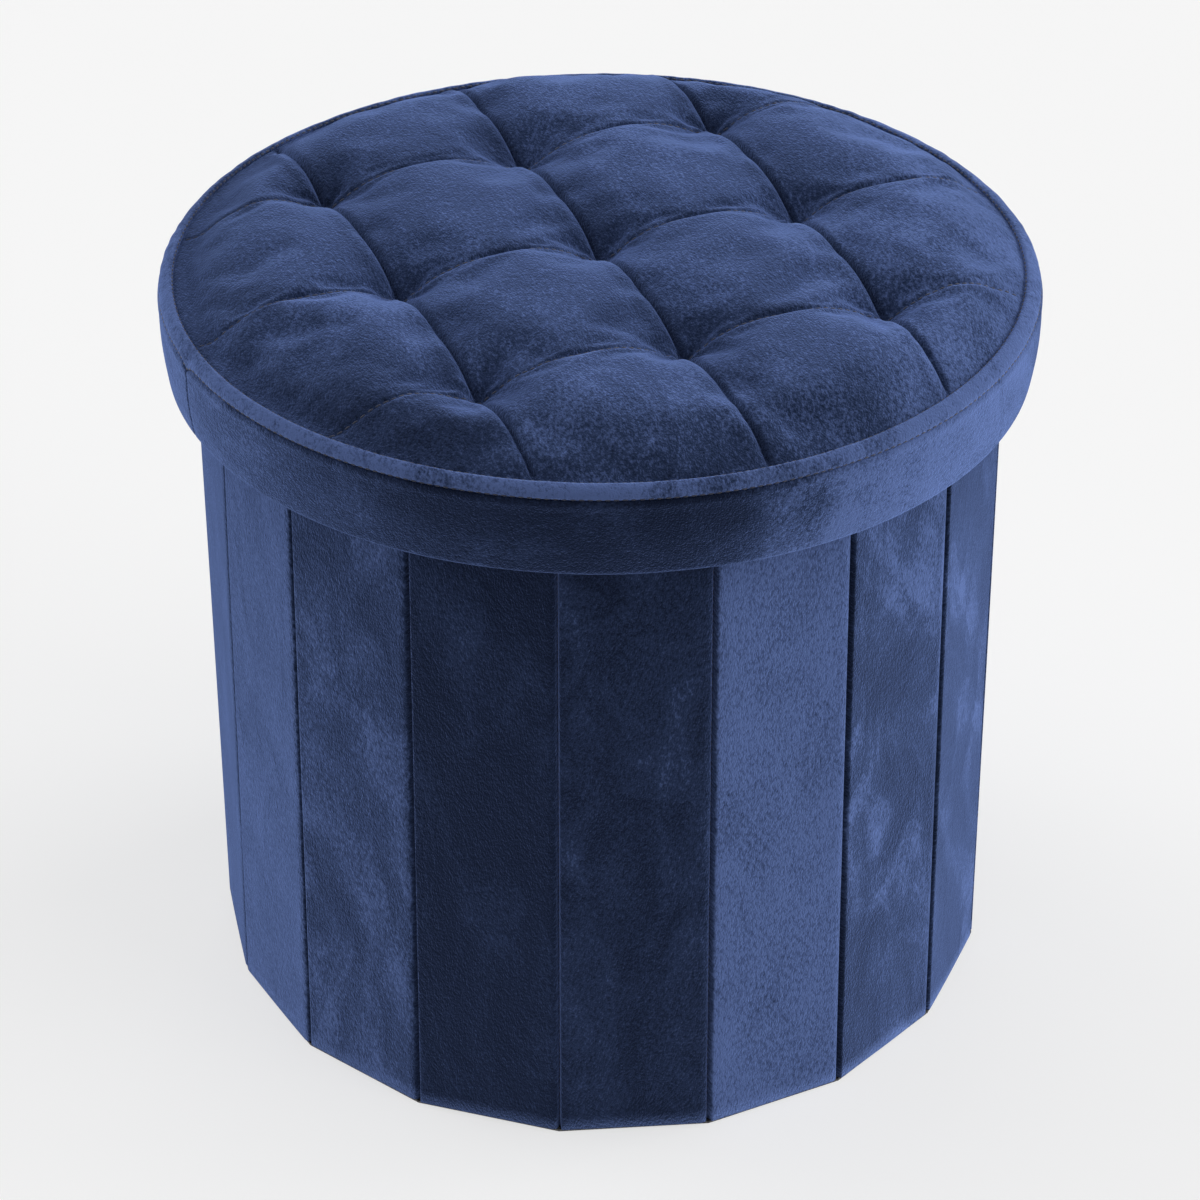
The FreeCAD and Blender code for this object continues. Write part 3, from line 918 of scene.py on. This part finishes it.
bm = bmesh.new()
for row in (-1, 0, 1):
    v = row * TUFT_PITCH
    reach = math.sqrt((INNER_SEAM - ROW_END) ** 2 - v ** 2)
    for index in range(int(2 * reach / STITCH_PITCH)):
        u = -reach + (index + 0.5) * STITCH_PITCH
        if math.hypot(u, v) > rim_radius(*to_lid(u, v)) - ROW_END:
            continue
        start, _ = on_quilt(u - STITCH_LENGTH / 2, v)
        end, _ = on_quilt(u + STITCH_LENGTH / 2, v)
        middle, normal = on_quilt(u, v)
        sew(bm, [(middle + normal * 0.15 * MM, end - start, normal)])
row_thread = mesh_object("quilting_rows", bm, navy_thread)
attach(row_thread, "lid")

# ---- Border band ------------------------------------------------------------------
# A narrow velvet ring, sewn to the quilted top along its inner edge and to the skirt
# along its outer edge. Both seams are pulled tight, so the ring puckers a little.
RING_STEPS = 720
OUTER_SEAM = 201.2 * MM
JOIN_AZIMUTH = math.radians(-71.2)
NOTCH_DEPTH = 2.6 * MM
NOTCH_WIDTH = 4.5 * MM
PUCKER_OUT = 0.25 * MM
PUCKER_UP = 0.3 * MM


def spin_round(outline, steps, joined):
    """A closed outline of (radius, height) spun about Z from the front, its ends joined or not."""
    bm = bmesh.new()
    verts = [bm.verts.new((0, -radius, height)) for radius, height in outline]
    edges = [bm.edges.new((a, b)) for a, b in zip(verts, verts[1:] + verts[:1])]
    bmesh.ops.spin(bm, geom=verts + edges, cent=(0, 0, 0), axis=(0, 0, 1), angle=2 * math.pi,
                   steps=steps, use_merge=joined)
    return bm


def spun(outline, steps):
    """A closed ring of that outline."""
    bm = spin_round(outline, steps, True)
    bmesh.ops.remove_doubles(bm, verts=bm.verts, dist=1e-6)
    bmesh.ops.recalc_face_normals(bm, faces=bm.faces)
    return bm


def notch(x, y):
    """How far the outer seam dips where the skirt's join meets it."""
    away = math.atan2(x, -y) - JOIN_AZIMUTH
    return NOTCH_DEPTH * math.exp(-(away * OUTER_SEAM / NOTCH_WIDTH) ** 2)


# Millimetres out from the inner seam and up from the border's height, round the section.
BAND_SECTION = ((-0.8, 1.2), (-0.5, 2.6), (0.3, 3.2), (1.5, 3.1), (3.1, 2.4), (4.6, 1.3),
                (5.8, 0.0), (6.3, -1.2), (6.1, -2.1), (5.2, -2.6), (2.0, -0.6), (-0.6, 0.3))
band_outline = [(INNER_SEAM + out * MM, BORDER_TOP + up * MM) for out, up in BAND_SECTION]
bm = spun(band_outline, RING_STEPS)
for vert in bm.verts:
    radius = vert.co.xy.length
    share = min(1.0, max(0.0, (OUTER_SEAM - radius) / (OUTER_SEAM - INNER_SEAM)))
    azimuth = math.atan2(vert.co.x, -vert.co.y)
    pucker = noise.noise((math.sin(azimuth) * 26, math.cos(azimuth) * 26, radius * 60))
    out = (rim_radius(*vert.co.xy) - INNER_SEAM) * share + PUCKER_OUT * pucker
    vert.co.xy *= (radius + out) / radius
    vert.co.z += PUCKER_UP * pucker - notch(*vert.co.xy) * (1 - share) - lean(vert.co.y)
band = mesh_object("border_band_sewn", bm, lid_velvet)
# The band's tone is painted lighter towards the front and darker to the back, as painted light and shade.
set_pile_and_shade(band, lambda place: 0.78 - 0.14 * place.y / INNER_SEAM, lambda place: 0.6)
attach(band, "lid")
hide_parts("border_band")

# ---- Skirt ------------------------------------------------------------------------
# One long strip of velvet round the padded hoop, closed by an upright join at the left
# and turned under at the bottom.
SKIRT_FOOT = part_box("skirt_cover")[0].z
SKIRT_STEPS = 400
JOIN_DEPTH = 1.7 * MM
JOIN_ROLL = 1.4 * MM
JOIN_CROWDING = 0.97
SKIRT_WAVE = 0.55 * MM
HEM_WAVE = 0.35 * MM
lining_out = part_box("skirt_lining")[1].x
SKIRT_TOP = BORDER_TOP - 2.3 * MM
SKIRT_OUT = 201.9 * MM
SKIRT_LOW = 199.0 * MM


def bowed(start, end, bow, steps):
    """Points from start to end along an arc that bows to its right."""
    line = Vector(end) - Vector(start)
    side = Vector((line.y, -line.x)).normalized()
    return [tuple(Vector(start) + line * (i / steps) + side * bow * math.sin(math.pi * i / steps))
            for i in range(steps + 1)]


skirt_outline = bowed((OUTER_SEAM - 0.5 * MM, SKIRT_TOP), (SKIRT_OUT, SKIRT_TOP - 5 * MM), -0.8 * MM, 5)
skirt_outline += bowed(skirt_outline[-1], (SKIRT_LOW + 0.2 * MM, SKIRT_FOOT + 3 * MM), -0.8 * MM, 14)[1:]
skirt_outline += bowed(skirt_outline[-1], (SKIRT_LOW - 2.8 * MM, SKIRT_FOOT), -0.9 * MM, 5)[1:]
skirt_outline += [
    (lining_out - 0.5 * MM, SKIRT_FOOT + 0.2 * MM),
    (lining_out - 0.5 * MM, SKIRT_FOOT + 1.2 * MM),
    (SKIRT_LOW - 3.0 * MM, SKIRT_FOOT + 1.2 * MM),
    (SKIRT_LOW - 1.0 * MM, SKIRT_FOOT + 3.6 * MM),
    (SKIRT_OUT - 1.6 * MM, SKIRT_TOP - 5 * MM),
    (OUTER_SEAM - 1.8 * MM, SKIRT_TOP - 1.0 * MM)]
bm = spin_round(skirt_outline, SKIRT_STEPS, False)
ends = [e for e in bm.edges if e.is_boundary]
bmesh.ops.holes_fill(bm, edges=ends, sides=0)
bmesh.ops.recalc_face_normals(bm, faces=bm.faces)
for vert in bm.verts:
    turn = math.atan2(vert.co.x, -vert.co.y) % (2 * math.pi)
    if turn < 1e-4 and vert.index >= len(skirt_outline) * SKIRT_STEPS:
        turn = 2 * math.pi
    share = turn / (2 * math.pi)
    share -= JOIN_CROWDING * math.sin(2 * math.pi * share) / (2 * math.pi)
    radius, height = vert.co.xy.length, vert.co.z
    azimuth = JOIN_AZIMUTH + 2 * math.pi * share
    from_join = min(share, 1 - share) * 2 * math.pi * radius
    dip = JOIN_DEPTH * (1 - math.sqrt(1 - (1 - min(from_join / JOIN_ROLL, 1.0)) ** 2))
    drop = (SKIRT_TOP - height) / (SKIRT_TOP - SKIRT_FOOT)
    wave = noise.noise((math.sin(azimuth) * 4.5, math.cos(azimuth) * 4.5, height * 12))
    radius += SKIRT_WAVE * wave * math.sin(math.pi * min(max(drop, 0), 1)) - dip
    place = (radius * math.sin(azimuth), -radius * math.cos(azimuth))
    height -= notch(*place) * max(0.0, 1 - drop * 5) + lean(place[1]) * max(0.0, 1 - drop)
    vert.co = Vector((*place, height + HEM_WAVE * wave * drop))
skirt = mesh_object("skirt_velvet", bm, lid_velvet)


def skirt_painted_shading(place):
    """The skirt's tone, all painted light and shade: dark in front, light beside it, and darker again
    round to the right.
    """
    # Painted shade in front and round to the right, painted light at the left and the front right.
    azimuth = math.degrees(math.atan2(place.x, -place.y))
    front = 1 / (1 + math.exp((azimuth - 16) / 4)) * min(1.0, max(0.0, (azimuth + 100) / 80))
    right = min(1.0, max(0.0, (azimuth - 45) / 35))
    return 0.95 - 0.97 * front - 0.55 * right


set_pile_and_shade(skirt, skirt_painted_shading, lambda place: 0.6)
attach(skirt, "lid")
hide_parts("skirt_cover")

# ---- Skirt padding ----------------------------------------------------------------
# Foam wrapped round the hoop and over the board's edge, which fills out the skirt.
hoop_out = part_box("skirt_hoop")[1].x
pad_outline = [(hoop_out + 0.1 * MM, SKIRT_FOOT + 1.8 * MM)]
pad_outline += bowed((SKIRT_LOW - 3.2 * MM, SKIRT_FOOT + 1.8 * MM),
                     (SKIRT_LOW - 1.8 * MM, SKIRT_FOOT + 4.2 * MM), -0.3 * MM, 3)
pad_outline += bowed((SKIRT_OUT - 2.4 * MM, SKIRT_TOP - 6 * MM),
                     (OUTER_SEAM - 3.0 * MM, SKIRT_TOP - 1.8 * MM), 0.4 * MM, 4)
pad_outline += [(hoop_out + 3.0 * MM, SKIRT_TOP - 0.8 * MM), (hoop_out + 0.1 * MM, SKIRT_TOP - 2.0 * MM)]
bm = spun(pad_outline, 160)
for vert in bm.verts:
    vert.co.z -= lean(vert.co.y) * max(0.0, 1 - (SKIRT_TOP - vert.co.z) / (SKIRT_TOP - SKIRT_FOOT))
padding = mesh_object("skirt_padding_wrapped", bm, foam_cream)
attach(padding, "lid")
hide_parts("skirt_padding")

# ---- Rim stitching ----------------------------------------------------------------
# A row of stitches along each edge of the border band.
bm = bmesh.new()
for seam, height in (("inner", 2.6 * MM), ("outer", -1.9 * MM)):
    count = int(2 * math.pi * INNER_SEAM / STITCH_PITCH)
    for index in range(count):
        azimuth = 2 * math.pi * index / count
        way = facing(azimuth)
        radius = OUTER_SEAM + 0.1 * MM
        if seam == "inner":
            radius = rim_radius(way.x, way.y) - 0.4 * MM
        spot = way * radius + Vector((0, 0, BORDER_TOP + height))
        spot.z -= lean(spot.y)
        if seam == "outer":
            spot.z -= notch(spot.x, spot.y)
        slope = way if seam == "outer" else way * -0.5
        sew(bm, [(spot, facing(azimuth + math.pi / 2), Vector((0, 0, 1)) + slope)])
rim_thread = mesh_object("rim_stitching", bm, navy_thread)
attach(rim_thread, "lid")

# ---- Floor, lights and camera ------------------------------------------------------
# A plain pale floor and large soft lights at both sides and overhead.
bm = bmesh.new()
bmesh.ops.create_grid(bm, x_segments=1, y_segments=1, size=30.0)
bmesh.ops.translate(bm, verts=bm.verts, vec=(0, 0, -0.3 * MM))
floor_material, _, _ = new_material(
    "pale_floor", Roughness=1.0, Base_Color=(0.35, 0.35, 0.35, 1), Specular_IOR_Level=0.0,
    Emission_Color=(1, 1, 1, 1), Emission_Strength=0.62)
floor = mesh_object("studio_floor", bm, floor_material, smooth=False)

world = bpy.data.worlds.new("studio")
bpy.context.scene.world = world
world.use_nodes = True
world.node_tree.nodes["Background"].inputs["Color"].default_value = (1, 1, 1, 1)
world.node_tree.nodes["Background"].inputs["Strength"].default_value = 0.04


def way_to(azimuth, elevation):
    """The direction from the object at an azimuth and an elevation in degrees."""
    rise = math.radians(elevation)
    return facing(math.radians(azimuth)) * math.cos(rise) + Vector((0, 0, math.sin(rise)))


def soft_light(name, azimuth, elevation, spread, strength):
    """A far soft light that shines on the object from there; spread is its width in degrees."""
    data = bpy.data.lights.new(name, "SUN")
    data.angle = math.radians(spread)
    data.energy = strength
    light = bpy.data.objects.new(name, data)
    way = way_to(azimuth, elevation)
    light.location = way * 3
    light.rotation_euler = way.to_track_quat("Z", "Y").to_euler()
    bpy.context.scene.collection.objects.link(light)


soft_light("right_side", 105, 13, 40, 2.25)
soft_light("right_front", 60, 30, 40, 0.8)
soft_light("left_side", -110, 13, 40, 0.8)
soft_light("left_back", -130, 30, 40, 0.7)
soft_light("back", 180, 35, 40, 0.35)
soft_light("overhead", 0, 85, 60, 0.9)

CAMERA_WAY = way_to(-5.18, 32.07)
CAMERA_DISTANCE = 2.627
CAMERA_AIM = Vector((0, 0, 0.1796))
camera_data = bpy.data.cameras.new("camera")
camera_data.lens = 166.2
camera_data.sensor_width = 36
camera = bpy.data.objects.new("camera", camera_data)
camera.location = CAMERA_AIM + CAMERA_WAY * CAMERA_DISTANCE
camera.rotation_euler = CAMERA_WAY.to_track_quat("Z", "Y").to_euler()
bpy.context.scene.collection.objects.link(camera)
bpy.context.scene.camera = camera
bpy.context.scene.view_settings.view_transform = "Standard"
